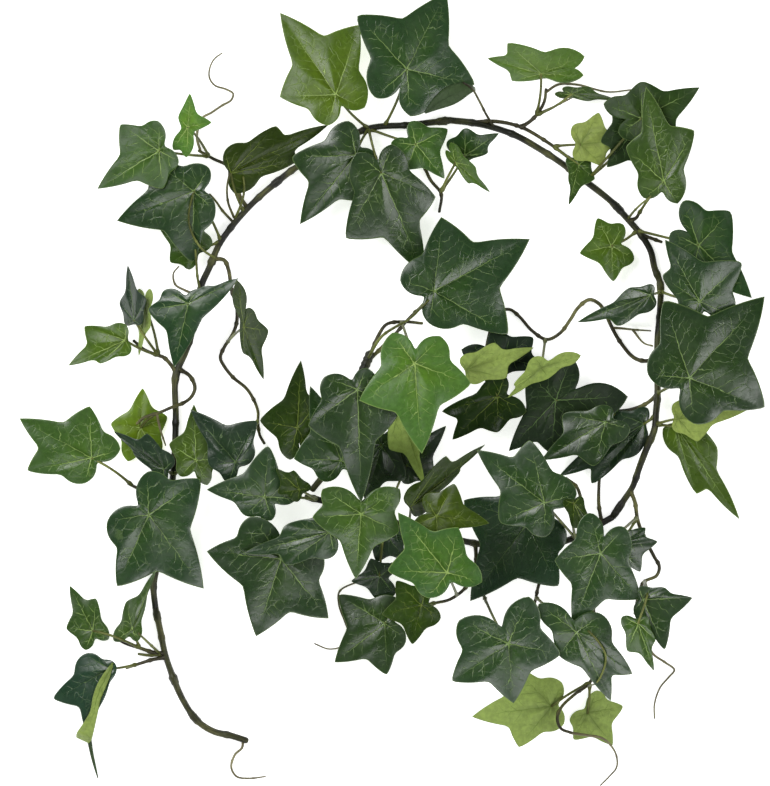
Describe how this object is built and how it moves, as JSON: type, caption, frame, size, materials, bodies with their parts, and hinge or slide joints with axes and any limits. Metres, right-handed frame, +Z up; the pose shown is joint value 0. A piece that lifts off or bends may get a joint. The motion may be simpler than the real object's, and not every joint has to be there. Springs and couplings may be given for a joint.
{
  "type": "ivy garland",
  "caption": "Ivy garland lying in a loose coiled ring: a jointed green-brown stem with twigs, tendrils and lobed, veined leaves.",
  "frame": {"origin": "middle of the garland's box, on the surface that it lies on", "axes": "+Z up, away from the surface; +X and +Y in the plane of the ring"},
  "size_m": [0.41, 0.4384, 0.076],
  "materials": {
    "stem": "satin, dark green-brown",
    "leaf_deep": "satin, blue-green with pale veins",
    "leaf_dark": "satin with pale yellow-green veins",
    "leaf_mid": "satin with pale yellow-green veins",
    "leaf_light": "satin, young leaf with yellow-green veins",
    "leaf_olive": "satin, olive",
    "leaf_pale": "matt underside with darker veins"
  },
  "bodies": {
    "root": {"stem_tail": "stem", "stem_west": "stem", "stem_crown": "stem", "stem_east": "stem", "stem_south_east": "stem", "stem_south": "stem", "stem_centre": "stem", "west_lime": "leaf_light", "east_grey": "leaf_deep", "south_pale": "leaf_pale", "west_top_low": "leaf_mid", "west_top_outer": "leaf_mid", "west_top_inner": "leaf_olive", "crown_dark_left": "leaf_dark", "crown_mid": "leaf_dark", "crown_left": "leaf_light", "crown_right": "leaf_dark", "crown_dark_big": "leaf_dark", "upper_light": "leaf_light", "ne_spike": "leaf_mid", "ne_back": "leaf_deep", "ne_front": "leaf_mid", "east_small": "leaf_light", "east_inner": "leaf_dark", "east_tail": "leaf_mid", "east_big": "leaf_dark", "west_curl": "leaf_pale", "west_dark": "leaf_dark", "west_star": "leaf_mid", "west_dark_small": "leaf_deep", "west_low_big": "leaf_dark", "west_hanging": "leaf_olive", "tail_curl": "leaf_mid", "tail_dark": "leaf_deep", "inner_wide": "leaf_deep", "mid_black": "leaf_deep", "centre_back": "leaf_deep", "south_blue": "leaf_deep", "mid_shadow": "leaf_deep", "centre_blue": "leaf_deep", "centre_spike": "leaf_olive", "centre_left": "leaf_dark", "pale_strip": "leaf_pale", "mid_right": "leaf_dark", "inner_grey": "leaf_dark", "sw_big": "leaf_dark", "sw_long": "leaf_dark", "south_mid": "leaf_mid", "slim_blade": "leaf_olive", "centre_front": "leaf_dark", "mid_big": "leaf_dark", "centre_dark": "leaf_dark", "centre_light": "leaf_light", "south_star": "leaf_dark", "sage": "leaf_light", "se_side": "leaf_dark", "se_low": "leaf_dark", "se_corner": "leaf_dark", "south_big": "leaf_dark"}
  },
  "joints": []
}
